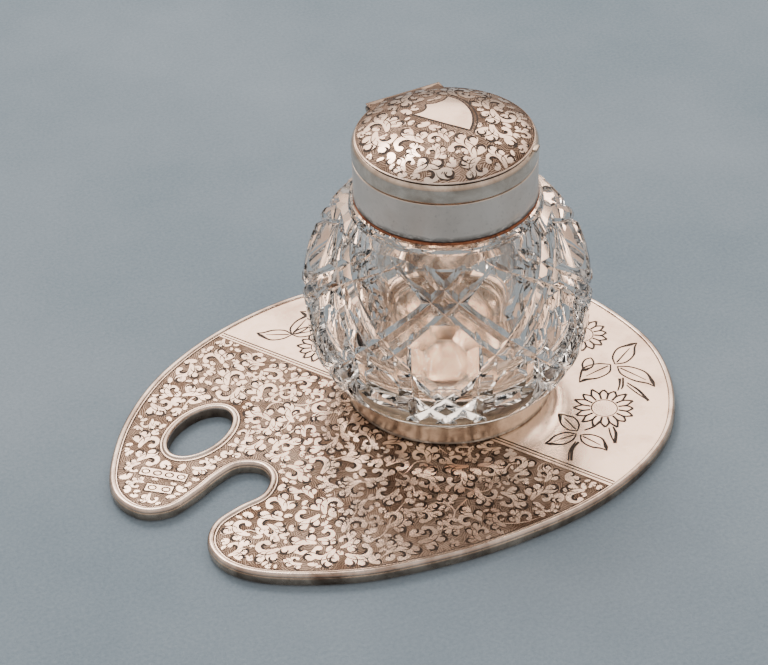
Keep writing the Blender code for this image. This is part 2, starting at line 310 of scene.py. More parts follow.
class Nodes:
    """A short way to write a node material. A value is a number, a colour or another node's output."""

    def __init__(self, name):
        self.material = bpy.data.materials.new(name)
        self.material.use_nodes = True
        self.tree = self.material.node_tree

    def feed(self, socket, value):
        if isinstance(value, bpy.types.NodeSocket):
            self.tree.links.new(value, socket)
        elif isinstance(value, tuple) and socket.type == "RGBA":
            socket.default_value = (*value, 1.0)
        else:
            socket.default_value = value

    def set(self, **values):
        """Feeds the surface shader's sockets."""
        for key, value in values.items():
            self.feed(self.tree.nodes["Principled BSDF"].inputs[key.replace("_", " ")], value)

    def add(self, kind, **values):
        node = self.tree.nodes.new(kind)
        for key, value in values.items():
            if key in node.inputs.keys():
                self.feed(node.inputs[key], value)
            else:
                setattr(node, key, value)
        return node

    def place(self, scale=(1.0, 1.0, 1.0)):
        where = self.add("ShaderNodeTexCoord").outputs["Object"]
        return self.add("ShaderNodeMapping", Scale=scale, Vector=where).outputs["Vector"]

    def height(self, vector):
        return self.add("ShaderNodeSeparateXYZ", Vector=vector).outputs["Z"]

    def noise(self, vector, scale, detail=4.0, roughness=0.55, distortion=0.0):
        return self.add("ShaderNodeTexNoise", Scale=scale, Detail=detail, Roughness=roughness,
                        Distortion=distortion, Vector=vector).outputs["Fac"]

    def ramp(self, factor, *stops):
        node = self.add("ShaderNodeValToRGB", Fac=factor)
        set_stops(node.color_ramp, stops)
        return node.outputs["Color"]

    def span(self, factor, low, high, source=(0.0, 1.0)):
        ends = {"From Min": source[0], "From Max": source[1], "To Min": low, "To Max": high}
        return self.add("ShaderNodeMapRange", Value=factor, **ends).outputs["Result"]

    def math(self, operation, *values):
        node = self.add("ShaderNodeMath", operation=operation)
        for socket, value in zip(node.inputs, values):
            self.feed(socket, value)
        return node.outputs[0]

    def mix(self, factor, first, second, blend="MIX"):
        node = self.add("ShaderNodeMix", data_type="RGBA", blend_type=blend)
        for index, value in ((0, factor), (6, first), (7, second)):
            self.feed(node.inputs[index], value)
        return node.outputs[2]

    def bump(self, height, strength, distance, **before):
        return self.add("ShaderNodeBump", Strength=strength, Distance=distance, Height=height,
                        **before).outputs["Normal"]


WHITE = (1.0, 1.0, 1.0)
SEAM_LINE = 0.55


def silver(name, light=(1.0, 0.755, 0.595), dull=(0.68, 0.49, 0.375), spots=0.35, rough=(0.16, 0.30),
           waves=0.25, scratches=0.08, seam=None):
    """Polished silver: uneven sheen, thin tarnish, fine wiping scratches and a slightly wavy surface.

    seam gives two heights: black lies at the first and thins out up to the second; it is partly tarnish in
    the joint and partly painted shade where the part meets the one below.
    """
    made = Nodes(name)
    at = made.place()
    shade = made.ramp(made.noise(at, 95.0, 6.0, 0.62, 0.4), (0.30, dull), (0.30 + spots, light), (1.0, light))
    speck = made.ramp(made.noise(at, 900.0, 5.0, 0.6), (0.26, (0.75, 0.72, 0.70)), (0.42, WHITE))
    colour = made.mix(0.7, shade, speck, "MULTIPLY")
    if seam is not None:
        height = made.height(at)
        near = made.span(height, 1.0, 0.0, (seam[0] * MM, seam[1] * MM))
        blots = made.span(made.noise(made.place((1.0, 1.0, 3.0)), 330.0, 6.0, 0.7), 0.0, 1.0, (0.40, 0.52))
        line = made.span(height, 1.0, 0.0, (seam[0] * MM, (seam[0] + SEAM_LINE) * MM))
        # Painted shade and tarnish at the seam: black along its line, thinning out in blots above it.
        black = made.math("MAXIMUM", made.math("MULTIPLY", near, blots), line)
        colour = made.mix(black, colour, (0.05, 0.032, 0.025))
    normal = made.bump(made.noise(at, 55.0, 3.0, 0.5), waves, 0.0012)
    for stretch in ((3200.0, 260.0, 900.0), (240.0, 2900.0, 900.0)):
        normal = made.bump(made.noise(made.place(stretch), 1.0, 4.0, 0.7), scratches, 0.00006, Normal=normal)
    made.set(Metallic=1.0, IOR=1.45, Base_Color=colour, Normal=normal,
             Roughness=made.span(made.noise(at, 260.0, 5.0, 0.6), *rough))
    return made.material


# Radians of a stroke's wave in a metre: strokes half a millimetre apart.
HATCHING = 12500.0


def hatched(name, light=(0.95, 0.71, 0.55), dark=(0.10, 0.06, 0.04)):
    """Oxidised engraved ground: short cut strokes that change direction from patch to patch."""
    made = Nodes(name)
    at = made.place()
    patches = made.add("ShaderNodeTexVoronoi", Scale=520.0, Vector=at).outputs["Color"]
    split = made.add("ShaderNodeSeparateColor", Color=patches)
    angle = made.math("MULTIPLY", split.outputs["Red"], 3.1416)
    axes = made.add("ShaderNodeSeparateXYZ", Vector=at).outputs
    along = made.math("ADD", made.math("MULTIPLY", axes["X"], made.math("COSINE", angle, 0.0)),
                      made.math("MULTIPLY", axes["Y"], made.math("SINE", angle, 0.0)))
    wobble = made.math("MULTIPLY", made.noise(at, 700.0, 3.0), 0.0006)
    wave = made.math("SINE", made.math("MULTIPLY", made.math("ADD", along, wobble), HATCHING), 0.0)
    lines = made.span(wave, 0.0, 1.0, (-1.0, 1.0))
    cloud = made.noise(at, 190.0, 5.0, 0.6)
    tone = made.mix(lines, dark, made.mix(cloud, dark, light))
    stain = made.ramp(made.noise(at, 75.0, 4.0, 0.6), (0.36, (0.50, 0.44, 0.40)), (0.60, WHITE))
    made.set(Metallic=1.0, Base_Color=made.mix(1.0, tone, stain, "MULTIPLY"),
             Roughness=made.span(cloud, 0.34, 0.58),
             Normal=made.bump(lines, 0.7, 0.00008, Normal=made.bump(cloud, 0.3, 0.0003)))
    return made.material


def grooved():
    """The bottom of an engraved line, dark with tarnish."""
    made = Nodes("engraved_line")
    fine = made.noise(made.place(), 1300.0, 4.0, 0.6)
    made.set(Metallic=0.35, Roughness=0.6, Normal=made.bump(fine, 0.4, 0.00008),
             Base_Color=made.ramp(fine, (0.3, (0.018, 0.011, 0.008)), (0.75, (0.075, 0.045, 0.03))))
    return made.material


def glass_material(wear=0.14):
    """Slightly warm crystal, with cut edges rounded by wear, given as a radius."""
    made = Nodes("lead_crystal")
    at = made.place()
    worn = made.add("ShaderNodeBevel", samples=4, Radius=wear * MM).outputs["Normal"]
    made.set(IOR=1.49, Metallic=0.0, Transmission_Weight=1.0,
             Base_Color=made.ramp(made.noise(at, 60.0, 3.0), (0.3, (0.98, 0.93, 0.875)),
                                  (0.7, (0.995, 0.965, 0.925))),
             Roughness=made.span(made.noise(at, 420.0, 4.0), 0.0, 0.035),
             Normal=made.bump(made.noise(at, 210.0, 2.0), 0.06, 0.0004, Normal=worn))
    return made.material


def residue_material(low, high):
    """Dried ink: brown patches on the cavity's shoulder, between two heights, and a thin film elsewhere."""
    made = Nodes("dried_ink")
    at = made.place()
    cloud = made.noise(at, 150.0, 7.0, 0.65, 0.8)
    wide = made.noise(at, 60.0, 3.0, 0.6)
    both = made.math("ADD", made.math("MULTIPLY", cloud, 0.6), made.math("MULTIPLY", wide, 0.6))
    raised = made.span(made.height(at), 0.12, 1.0, (low * MM, high * MM))
    patches = made.span(both, 0.0, 0.75, (0.57, 0.655))
    made.set(Roughness=0.6, IOR=1.4, Alpha=made.math("MULTIPLY", patches, raised),
             Base_Color=made.ramp(both, (0.50, (0.78, 0.56, 0.32)), (0.60, (0.50, 0.27, 0.10)),
                                  (0.70, (0.08, 0.035, 0.02))))
    return made.material


def cement_material():
    made = Nodes("old_cement")
    grain = made.noise(made.place(), 800.0, 6.0, 0.65)
    made.set(Roughness=0.8, Normal=made.bump(grain, 0.8, 0.0003),
             Base_Color=made.ramp(grain, (0.3, (0.10, 0.03, 0.015)), (0.55, (0.42, 0.14, 0.06)),
                                  (0.8, (0.62, 0.30, 0.17))))
    return made.material


def paper_material(dark=(0.195, 0.265, 0.325), light=(0.315, 0.39, 0.46)):
    """Pale blue-grey paper with a faint tooth."""
    made = Nodes("paper")
    at = made.place()
    wide = made.noise(at, 9.0, 4.0, 0.6)
    fine = made.noise(at, 1100.0, 5.0, 0.7)
    both = made.math("ADD", made.math("MULTIPLY", wide, 0.55), made.math("MULTIPLY", fine, 0.45))
    made.set(Roughness=0.85, Specular_IOR_Level=0.2, Normal=made.bump(fine, 0.5, 0.0004),
             Base_Color=made.ramp(both, (0.35, dark), (0.65, light)))
    return made.material


# Name, light and dull colours, step between them, roughness from and to, waves, scratches, and any seam.
SILVER_PLATE = silver("silver_plate", spots=0.22, waves=0.22)
SILVER_RIM = silver("silver_rim", (0.86, 0.70, 0.59), (0.30, 0.20, 0.15), 0.30, (0.12, 0.26), 0.2)
SILVER_COLLAR = silver("silver_collar", (1.0, 0.85, 0.735), (0.82, 0.67, 0.56), 0.34, (0.24, 0.36), 0.1, 0.12)
# The band's seam darkens its lower edge: tarnish and painted shade where it meets the part below.
SILVER_BAND = silver("silver_band", (1.0, 0.85, 0.735), (0.84, 0.69, 0.58), 0.34, (0.26, 0.38), 0.1, 0.12,
                     (BAND_Z + 0.25, BAND_Z + 1.7))
SILVER_RING = silver("silver_ring", (0.92, 0.76, 0.62), (0.34, 0.24, 0.17), 0.30, (0.14, 0.26), 0.12, 0.12)
# The gallery's seam darkens its foot: tarnish and painted contact shade where it stands on the plate.
SILVER_GALLERY = silver("silver_gallery", (1.0, 0.90, 0.76), (0.22, 0.15, 0.11), 0.28, (0.2, 0.42), 0.8, 0.15,
                        (gallery_low[2] - 0.35, gallery_low[2] + 1.0))
# Darker silver for the middle of the palette border's outer wall, and as painted shade on the lid's lift lug
# and the hinge pin.
SILVER_DARKENED = silver("silver_stained", (0.66, 0.54, 0.43), (0.085, 0.05, 0.033), 0.34, (0.16, 0.38), 0.6,
                        0.15)
SILVER_SHADED = silver("silver_shaded", (0.40, 0.30, 0.23), (0.06, 0.035, 0.025), 0.34, (0.2, 0.4), 0.4, 0.15)
GROUND = hatched("engraved_ground")
GROUND_LID = hatched("engraved_ground_lid", (0.86, 0.62, 0.47), (0.055, 0.032, 0.022))
GROOVE = grooved()
GLASS = glass_material()

# ---------------------------------------------------------------- engraving

GROUND_RANK, LEAF, LINE = 1, 2, 3
DEPTH = {0: 0.0, GROUND_RANK: 0.09, LEAF: 0.0, LINE: 0.13}
SLOT_OF = {0: 0, GROUND_RANK: 1, LEAF: 0, LINE: 2}
CELL = 0.15
THINNEST = 0.03


def left_of(points):
    """Unit vectors to the left of a line at its points."""
    along = np.gradient(points, axis=0)
    along /= np.maximum(np.linalg.norm(along, axis=1), TINY)[:, None]
    return np.stack([-along[:, 1], along[:, 0]], 1)


def tapered(steps, margin, power):
    """Shares from 0 to 1 that swell in the middle of a stroke."""
    return np.sin(math.pi * np.linspace(margin, 1 - margin, steps)) ** power


def straight(start, end, steps):
    return start + np.linspace(0, 1, steps)[:, None] * (end - start)


def even_line(points, width):
    return LINE, points, np.full(len(points), width)


def stroke(points, widths):
    """The outline of an engraver's stroke."""
    p = np.array(points, float)
    half = np.maximum(np.broadcast_to(np.array(widths, float), (len(p),)), THINNEST) / 2
    side = left_of(p) * half[:, None]
    return np.vstack([p - side, (p + side)[::-1]])


def path(at, heading, length, turns, steps):
    """Points of a line that sets off with a heading and turns by turns(t) radians along it."""
    angle = heading + turns(np.linspace(0.0, 1.0, steps))
    legs = headings(angle) * length / (steps - 1)
    return np.array(at) + np.vstack([[0.0, 0.0], np.cumsum(legs[:-1], 0)]), angle


def crescent(at, radius, start, sweep, width):
    angle = start + sweep * np.linspace(0, 1, 11)
    return LINE, np.array(at) + radius * headings(angle), width * tapered(11, 0.04, 0.6)


def edge_line(points, widths, hand, weight):
    """A line cut along one side of a lobe, heavy in its middle."""
    line = points + left_of(points) * hand * (np.asarray(widths)[:, None] / 2)
    return LINE, line, weight * tapered(len(line), 0.05, 0.7)


def ticks(at, heading, size):
    along = np.array([math.cos(heading), math.sin(heading)])
    across = np.array([-along[1], along[0]]) + 0.3 * along
    centres = [np.array(at) + along * size * 0.07 * k for k in range(3)]
    return [even_line(np.array([c - across * size * 0.05, c, c + across * size * 0.05]), size * 0.034)
            for c in centres]


def fat(length, size, peak=1.0):
    u = np.linspace(0, 1, length)
    return size * np.sqrt(np.clip(1 - (1.9 * u - peak) ** 2, 0.03, 1))


def curl(rng, at, heading, size, hand):
    """An acanthus curl: an arm that winds into a spiral, with lobes along its outer side."""
    wind = rng.uniform(3.6, 5.2)
    arm, angle = path(at, heading, 1.5 * size, lambda t: hand * (0.3 * t + wind * t ** 1.8), 22)
    t = np.linspace(0, 1, 22)
    width = size * (0.07 + 0.21 * np.sin(math.pi * t ** 0.8) ** 0.8)
    width[-5:] = size * np.array([0.16, 0.22, 0.27, 0.25, 0.12])
    strokes = [(LEAF, arm, width), edge_line(arm[7:], width[7:], hand, size * 0.115),
               edge_line(arm[2:13], width[2:13], -hand, size * 0.045)]
    for k in range(rng.choice([2, 3, 3])):
        i = int(3 + 4 * k + 2 * rng.random())
        away = angle[i] - hand * rng.uniform(0.6, 1.1)
        bend = -hand * rng.uniform(0.7, 1.9)
        length = size * rng.uniform(0.42, 0.66)
        lobe, face = path(arm[i], away, length, lambda u, bend=bend: bend * u ** 1.3, 11)
        wide = fat(11, size * rng.uniform(0.34, 0.48))
        strokes.append((LEAF, lobe, wide))
        strokes.append(crescent(lobe[-4], size * 0.14, face[-4] - hand * 0.9, 4.2 * hand, size * 0.11))
        strokes.append(edge_line(lobe, wide, hand, size * 0.05))
        if rng.random() < 0.3:
            strokes += ticks(lobe[3], face[5], size)
    return strokes


def sprig(rng, at, heading, size, hand):
    """A small group of comma-shaped lobes."""
    strokes = []
    for k in range(rng.choice([1, 2, 3])):
        bend = hand * rng.uniform(1.0, 2.6)
        length = size * rng.uniform(0.5, 0.8)
        lobe, face = path(at, heading + (k - 1) * 0.9, length, lambda u, bend=bend: bend * u, 9)
        strokes.append((LEAF, lobe, fat(9, size * 0.36, 0.95)))
        strokes.append(crescent(lobe[-3], size * 0.13, face[-3] - hand * 1.2, 3.8 * hand, size * 0.11))
    return strokes


class Field:
    """Which parts of an area still have room for a motif."""

    def __init__(self, low, high, free):
        self.low, self.high = np.array(low, float), np.array(high, float)
        self.shape = np.ceil((self.high - self.low) / CELL).astype(int) + 1
        grid = np.stack(np.meshgrid(*(np.arange(n) * CELL for n in self.shape), indexing="ij"), -1) + self.low
        self.taken = ~free(grid.reshape(-1, 2)).reshape(self.shape)
        self.stamps = {}

    def cells(self, strokes, grow):
        found = set()
        for rank, points, widths in strokes:
            if rank != LEAF:
                continue
            for p, w in zip((points - self.low) / CELL, widths):
                key = round((w / 2 + grow) / CELL, 1)
                if key not in self.stamps:
                    n = np.arange(-int(key) - 1, int(key) + 2)
                    around = np.stack(np.meshgrid(n, n, indexing="ij"), -1).reshape(-1, 2)
                    self.stamps[key] = around[(around ** 2).sum(1) <= key * key]
                found.update(map(tuple, (self.stamps[key] + np.round(p).astype(int)).tolist()))
        cells = np.array(sorted(found))
        keep = ((cells >= 0) & (cells < self.shape)).all(1)
        return cells[keep], keep.all()

    def place(self, strokes, gap, allowed):
        cells, whole = self.cells(strokes, gap)
        if not whole or self.taken[cells[:, 0], cells[:, 1]].mean() > allowed:
            return False
        cells, _ = self.cells(strokes, 0.0)
        self.taken[cells[:, 0], cells[:, 1]] = True
        return True


# Motif, its size, tries on a square of this side, and how much of it may lie over others.
PLAN_SIDE = 40
SCROLL_PLAN = [(curl, 1.0, 500, 0.03), (curl, 0.8, 900, 0.03), (curl, 0.6, 1500, 0.03),
               (sprig, 0.8, 1500, 0.04), (sprig, 0.55, 2500, 0.05), (sprig, 0.38, 2500, 0.05)]


def scrolls(rng, field, size, gap, first=()):
    """Fills a field with curls, large ones first and small sprigs in the rest."""
    made = []
    for strokes in first:
        field.place(strokes, 0.0, 1.0)
        made += strokes
    reach = field.high - field.low
    for maker, factor, tries, allowed in SCROLL_PLAN:
        for _ in range(int(tries * reach[0] * reach[1] / PLAN_SIDE ** 2)):
            at = tuple(rng.uniform(low, high) for low, high in zip(field.low, field.high))
            if field.taken[tuple(((np.array(at) - field.low) / CELL).astype(int))]:
                continue
            strokes = maker(rng, at, rng.uniform(0, 2 * math.pi), size * factor, rng.choice([-1, 1]))
            if field.place(strokes, gap, allowed):
                made += strokes
    return made


def triangulated(points, loops):
    """Flat points cut into triangles along loops of them: points, triangles, and the loops each one is in."""
    found = delaunay_2d_cdt([Vector(map(float, p)) for p in points], [], loops, 1, 1e-5, True)
    return np.array([tuple(p) for p in found[0]]), found[2], found[5]


def engrave(name, outline, holes, areas, strokes, place, materials, extra=()):
    """A sheet whose top is cut to several depths.

    areas are (rank, loop), strokes are (rank, points, widths), and place(points) gives points and normals.
    """
    loops = [(0, anticlockwise(outline))] + [(-1, anticlockwise(h)) for h in holes]
    loops += [(rank, anticlockwise(loop)) for rank, loop in areas]
    loops += [(rank, anticlockwise(stroke(p, w))) for rank, p, w in strokes]
    points, faces, boxes = [], [], []
    for _, loop in loops:
        faces.append(list(range(len(points), len(points) + len(loop))))
        points += list(loop)
        boxes.append((loop.min(0) - 0.01, loop.max(0) + 0.01))
    flat, cells, origins = triangulated(points + list(extra), faces)
    middle = flat[np.array(cells)].mean(1)
    ranks = np.full(len(cells), -1)
    for index, ids in enumerate(origins):
        here = [i for i in ids if (middle[index] > boxes[i][0]).all() and (middle[index] < boxes[i][1]).all()]
        found = [loops[i][0] for i in here]
        if 0 in found and -1 not in found:
            ranks[index] = max(found)
    top, normal = place(flat)
    verts, slots, polygons, copies, edges = [], [], [], {}, {}

    def corner(vertex, rank):
        key = (vertex, DEPTH[rank])
        if key not in copies:
            copies[key] = len(verts)
            verts.append(top[vertex] - normal[vertex] * DEPTH[rank])
        return copies[key]

    for rank, cell in zip(ranks, cells):
        if rank < 0:
            continue
        polygons.append([corner(v, rank) for v in cell])
        slots.append(SLOT_OF[rank])
        for a, b in zip(cell, cell[1:] + cell[:1]):
            edges.setdefault((min(a, b), max(a, b)), []).append((rank, a, b))
    for sides in edges.values():
        if len(sides) != 2 or DEPTH[sides[0][0]] == DEPTH[sides[1][0]]:
            continue
        (high, a, b), (low, _, _) = sorted(sides, key=lambda side: DEPTH[side[0]])
        polygons.append(list(range(len(verts), len(verts) + 4)))
        verts += [top[v] - normal[v] * DEPTH[rank] for v, rank in ((a, high), (a, low), (b, low), (b, high))]
        slots.append(SLOT_OF[low])
    made = new_object(name, verts, polygons, materials, slots, solid=False)
    normals = np.zeros((len(verts), 3))
    for (vertex, _), index in copies.items():
        normals[index] = normal[vertex]
    made.data.normals_split_custom_set_from_vertices([tuple(n) for n in normals])
    return made


THIN, BOLD = 0.16, 2.2


def line_group(points, widths, steps=8):
    """A dark engraved line through points, with widths that change along it."""
    curve = spline(points, steps)
    widths = THIN + BOLD * np.array(widths)
    return LINE, curve, np.interp(np.linspace(0, 1, len(curve)), np.linspace(0, 1, len(widths)), widths)


def leaf_outline(base, tip, width, lean, vein=True):
    """An engraved leaf: two curved edges that meet in a heavy tip, and a vein."""
    base, tip = np.array(base, float), np.array(tip, float)
    along = tip - base
    side = np.array([-along[1], along[0]]) / np.linalg.norm(along)

    def at(share, spread, bent):
        return base + along * share + side * (hand * width * spread + lean * bent)

    made = []
    for hand, heavy in ((1, 0.42), (-1, 0.16)):
        points = [base, at(0.22, 0.42, 0.15), at(0.55, 0.5, 0.5), at(0.82, 0.18, 0.45), tip]
        made.append(line_group(points, [0.10, 0.16, 0.14, 0.2, heavy, 0.05]))
    if vein:
        made.append(line_group([base + along * 0.08, base + along * 0.4 + side * lean * 0.25,
                                base + along * 0.72 + side * lean * 0.45], [0.14, 0.12, 0.04]))
    return made


GOLDEN_ANGLE = 2.39996
DOTS = 60


def sunflower(rng, centre, disc, reach, petals, start=0.0):
    """An engraved flower: a stippled disc with a ring of pointed petals."""
    centre = np.array(centre, float)
    ring = centre + disc * headings(np.linspace(0, 2 * math.pi, 49))
    made = [even_line(ring[:25], 0.36), even_line(ring[24:], 0.28)]
    half = math.pi * disc / petals * 1.05
    for k in range(petals):
        angle = start + 2 * math.pi * k / petals
        out = np.array([math.cos(angle), math.sin(angle)])
        side = np.array([-out[1], out[0]])
        tip = centre + out * reach * rng.uniform(0.93, 1.05)
        near = centre + out * disc * 1.08
        middle = centre + out * (disc + (reach - disc) * 0.55)
        root, swell = side * half * 0.9, side * (half * 1.45)
        made.append(line_group([near + root, middle + swell, tip], [0.1, 0.2, 0.16]))
        made.append(line_group([near - root, middle - swell, tip], [0.1, 0.14, 0.26]))
    for k in range(DOTS):
        angle = k * GOLDEN_ANGLE
        radius = disc * 0.85 * math.sqrt((k + 0.5) / DOTS)
        dot = centre + radius * np.array([math.cos(angle), math.sin(angle)])
        made.append((LINE, np.array([dot - (0.09, 0), dot, dot + (0.09, 0)]), np.array([0.1, 0.3, 0.1])))
    return made


def closed_line(loop, width, pieces=6):
    """A thin line right round a loop, in overlapping lengths."""
    n = len(loop)
    parts = [np.arange(k * n // pieces, (k + 1) * n // pieces + 2) % n for k in range(pieces)]
    return [even_line(loop[ids], width) for ids in parts]


# ---------------------------------------------------------------- palette

outline = spline_loop(node_loops("palette_border")[0], 6)
hole_outer, hole_inner = (spline_loop(item, 6) for item in node_loops("thumb_hole_border"))

BORDER_PROFILE = [
    *about(0, PLATE_Z, (1.95, -0.3), (1.85, -0.12), (1.66, 0.02)),
    *about(0, TOP_Z, (1.5, -0.12), (1.2, -0.02), (0.85, 0), (0.55, -0.08), (0.32, -0.24), (0.16, -0.46),
           (0.1, -0.68), (0.18, -0.82), (0.30, -0.90), (0.18, -0.99), (0.03, -1.12), (0.0, -1.5)),
    (0.0, 1.2), (0.06, 0.75), (0.2, 0.4), (0.42, 0.14), (0.7, 0.0), (1.4, 0.0), (1.6, 0.3),
    *about(0, PLATE_Z, (1.6, -1.0), (1.9, -0.9)),
]
border = swept("palette_border_fine", outline, spline_loop(BORDER_PROFILE, 2), [SILVER_RIM, SILVER_DARKENED],
               lambda d, z: 0.7 < z < TOP_Z - 0.6 and d < 0.5)
settle(border, "palette", "polished_silver", "palette_border")

nearest = [hole_inner[np.argmin(((hole_inner - p) ** 2).sum(1))] for p in hole_outer]
width = float(np.mean(np.linalg.norm(hole_outer - np.array(nearest), axis=1)))
HOLE_PROFILE = [
    (0.0, PLATE_Z - 0.2), (0.1, PLATE_Z + 0.05),
    *about(0, TOP_Z, (0.4, -0.1), (0.8, 0), (1.15, -0.08), (width - 0.12, -0.3), (width, -0.7)),
    (width, 0.6), (width - 0.1, 0.2), (width - 0.3, 0.0), (0.5, 0.0), (0.3, 0.4), (0.3, PLATE_Z - 1.0),
]
# The thumb hole's inner wall takes silver_shaded: painted shade down inside the hole.
hole_border = swept("thumb_hole_border_fine", hole_outer, spline_loop(HOLE_PROFILE, 3),
                    [SILVER_RIM, SILVER_SHADED],
                    lambda d, z: -0.2 < z < TOP_Z - 0.45 and d > width - 0.25)
settle(hole_border, "palette", "polished_silver", "thumb_hole_border")

# The line between the part that is engraved all over and the plain part with flowers.
DIVIDE = (np.array([-28.7, 42.8]), np.array([39.3, -42.9]))
divide_along = (DIVIDE[1] - DIVIDE[0]) / np.linalg.norm(DIVIDE[1] - DIVIDE[0])
divide_side = np.array([-divide_along[1], divide_along[0]])


def divide_ends(loop):
    """Where the dividing line crosses a loop, in order along the line."""
    after = np.roll(loop, -1, 0)
    d0, d1 = (loop - DIVIDE[0]) @ divide_side, (after - DIVIDE[0]) @ divide_side
    hits = [a + (b - a) * p / (p - q) for a, b, p, q in zip(loop, after, d0, d1) if p * q < 0]
    return sorted(hits, key=lambda p: float((p - DIVIDE[0]) @ divide_along))


def palette_field():
    """The engraved part's own outline: the edge line, closed by the dividing line."""
    edge = inset(outline, 2.05)
    kept = edge[(edge - DIVIDE[0]) @ divide_side < -0.9]
    jumps = np.linalg.norm(np.roll(kept, -1, 0) - kept, axis=1)
    return np.roll(kept, -(int(np.argmax(jumps)) + 1), 0)


def cartouche_loop(at, size, turn, grow=0.0):
    c, s = math.cos(math.radians(turn)), math.sin(math.radians(turn))
    x, y = size[0] / 2 + grow, size[1] / 2 + grow
    corners = np.array([(-x, -y), (x, -y), (x, y), (-x, y)])
    return corners @ np.array([[c, s], [-s, c]]) + np.array(at)


# Two blank cartouches stand where small stamped marks would be: place, size, turn and number of blank ovals.
CARTOUCHES = [((-57.2, -3.0), (11.8, 2.9), -35.0, 4), ((-59.4, -7.5), (6.8, 2.7), -33.0, 2)]
rng = random.Random(11)
field_loop = palette_field()
hole_line = inset(hole_outer, -0.42)


def free_on_palette(points):
    free = inside(inset(field_loop, 0.25), points) & ~inside(inset(hole_line, -0.3), points)
    for *item, _ in CARTOUCHES:
        free &= ~inside(cartouche_loop(*item, grow=0.35), points)
    return free & (np.hypot(*(np.asarray(points) - AXIS).T) > GALLERY_R - 1.5)


def tendrils(rng, low, high, count, size):
    """Long thin stems that wander across a field."""
    made = []
    for _ in range(count):
        at = (rng.uniform(low[0], high[0]), rng.uniform(low[1], high[1]))
        bend, swing = rng.uniform(-1.6, 1.6), rng.uniform(-1.4, 1.4)
        line, _ = path(at, rng.uniform(0, 2 * math.pi), size * rng.uniform(1.6, 3.0),
                       lambda t: bend * t + swing * np.sin(5 * t), 22)
        made.append([(LEAF, line, 0.34 * np.sin(np.linspace(0.25, 2.9, 22)))])
    return made


field = Field(field_loop.min(0), field_loop.max(0), free_on_palette)
stems = [s for s in tendrils(rng, field.low, field.high, 80, 5.0) if free_on_palette(s[0][1]).all()]
strokes = scrolls(rng, field, 6.2, 0.05, stems)
strokes += [even_line(field_loop[a:a + 42], 0.32) for a in range(0, len(field_loop) - 2, 40)]
ends = divide_ends(inset(outline, 1.9))
for shift, line_width in ((0.0, 0.42), (-0.85, 0.34)):
    strokes.append(even_line(straight(*(p + divide_side * shift for p in ends), 60), line_width))
strokes += closed_line(hole_line, 0.3)

areas = [(GROUND_RANK, field_loop)]
for *item, _ in CARTOUCHES:
    loop = cartouche_loop(*item)
    areas.append((LEAF, loop))
    strokes += [even_line(straight(a, b, 6), 0.34) for a, b in zip(loop, np.roll(loop, -1, 0))]
areas.append((LEAF, hole_line))
areas.append((LEAF, AXIS + (GALLERY_R - 0.5) * headings(whole_turn(96))))
mark = whole_turn(24)[:, None]
for at, size, turn, count in CARTOUCHES:
    lean = np.array([math.cos(math.radians(turn)), math.sin(math.radians(turn))])
    across = np.array([-lean[1], lean[0]])
    for k in range(count):
        centre = np.array(at) + lean * size[0] * ((k + 0.5) / count - 0.5)
        strokes += closed_line(centre + 0.95 * np.cos(mark) * lean + 0.72 * np.sin(mark) * across, 0.38, 3)

# Flowers and leaves on the plain part: a leaf is base, tip, width and lean, a stem is points and widths.
LEAVES = [((57.6, -3.9), (66.3, 1.9), 4.6, 0.8), ((57.8, -4.9), (63.0, -15.5), 4.4, 1.4),
          ((56.6, -3.6), (46.6, -7.3), 5.2, -1.6), ((38.9, -23.8), (37.2, -16.2), 3.9, -0.5),
          ((38.2, -24.8), (29.9, -25.2), 3.6, 0.4), ((39.0, -25.4), (42.5, -32.9), 4.0, 1.0)]
STEMS = [((56.4, -9.4), (55.4, -11.6), (54.0, -13.6), (0.3, 0.16, 0.1)),
         ((57.3, -9.4), (56.0, -12.2), (55.0, -13.4), (0.16, 0.2, 0.1)),
         ((57.4, -11.6), (58.8, -15.4), (59.3, -19.8), (0.12, 0.26, 0.3)),
         ((56.9, -12.4), (57.9, -16.0), (59.3, -19.8), (0.1, 0.14, 0.1)),
         ((47.4, -25.4), (47.0, -28.0), (45.3, -31.1), (0.12, 0.3, 0.34)),
         ((46.3, -25.4), (45.6, -28.2), (45.3, -31.1), (0.1, 0.14, 0.1)),
         ((37.6, -27.6), (35.2, -29.4), (33.3, -33.1), (0.2, 0.3, 0.2)),
         ((37.0, -27.2), (34.4, -29.6), (32.7, -32.9), (0.1, 0.14, 0.1)),
         ((40.5, -24.2), (43.2, -23.8), (45.3, -22.4), (0.14, 0.22, 0.12))]
flower = sunflower(rng, (48.3, -18.4), 3.1, 7.4, 16)
for leaf in LEAVES:
    flower += leaf_outline(*leaf)
flower += [line_group(points, widths) for *points, widths in STEMS]
flower += sunflower(rng, (54.8, 10.2), 2.9, 6.8, 15, 0.15)
flower += leaf_outline((53.2, 0.6), (49.0, -3.4), 2.6, 0.6, False)
for shift in (0.0, 13.0):
    base = np.array([-13.5 + shift, 37.0 + shift * 0.35])
    for away, leaf_width, lean in (((6.8, 7.2), 4.0, -1.2), ((-8.2, 4.0), 4.0, 1.2), ((8.0, -1.4), 3.6, 1.0)):
        flower += leaf_outline(base, base + away, leaf_width, lean)
flower += sunflower(rng, (-8.0, 29.4), 2.6, 6.2, 14)
keep = inset(outline, 2.2)
strokes += [item for item in flower if inside(keep, item[1]).all()]


def on_plate(points):
    normal = np.tile([0.0, 0.0, 1.0], (len(points), 1))
    return np.column_stack([points, np.full(len(points), PLATE_Z)]), normal


plate = engrave("palette_plate_engraved", inset(outline, 1.6), [inset(hole_outer, 0.15)], areas, strokes,
                on_plate, [SILVER_PLATE, GROUND, GROOVE])
settle(plate, "palette", "engraved_silver", "palette_plate")


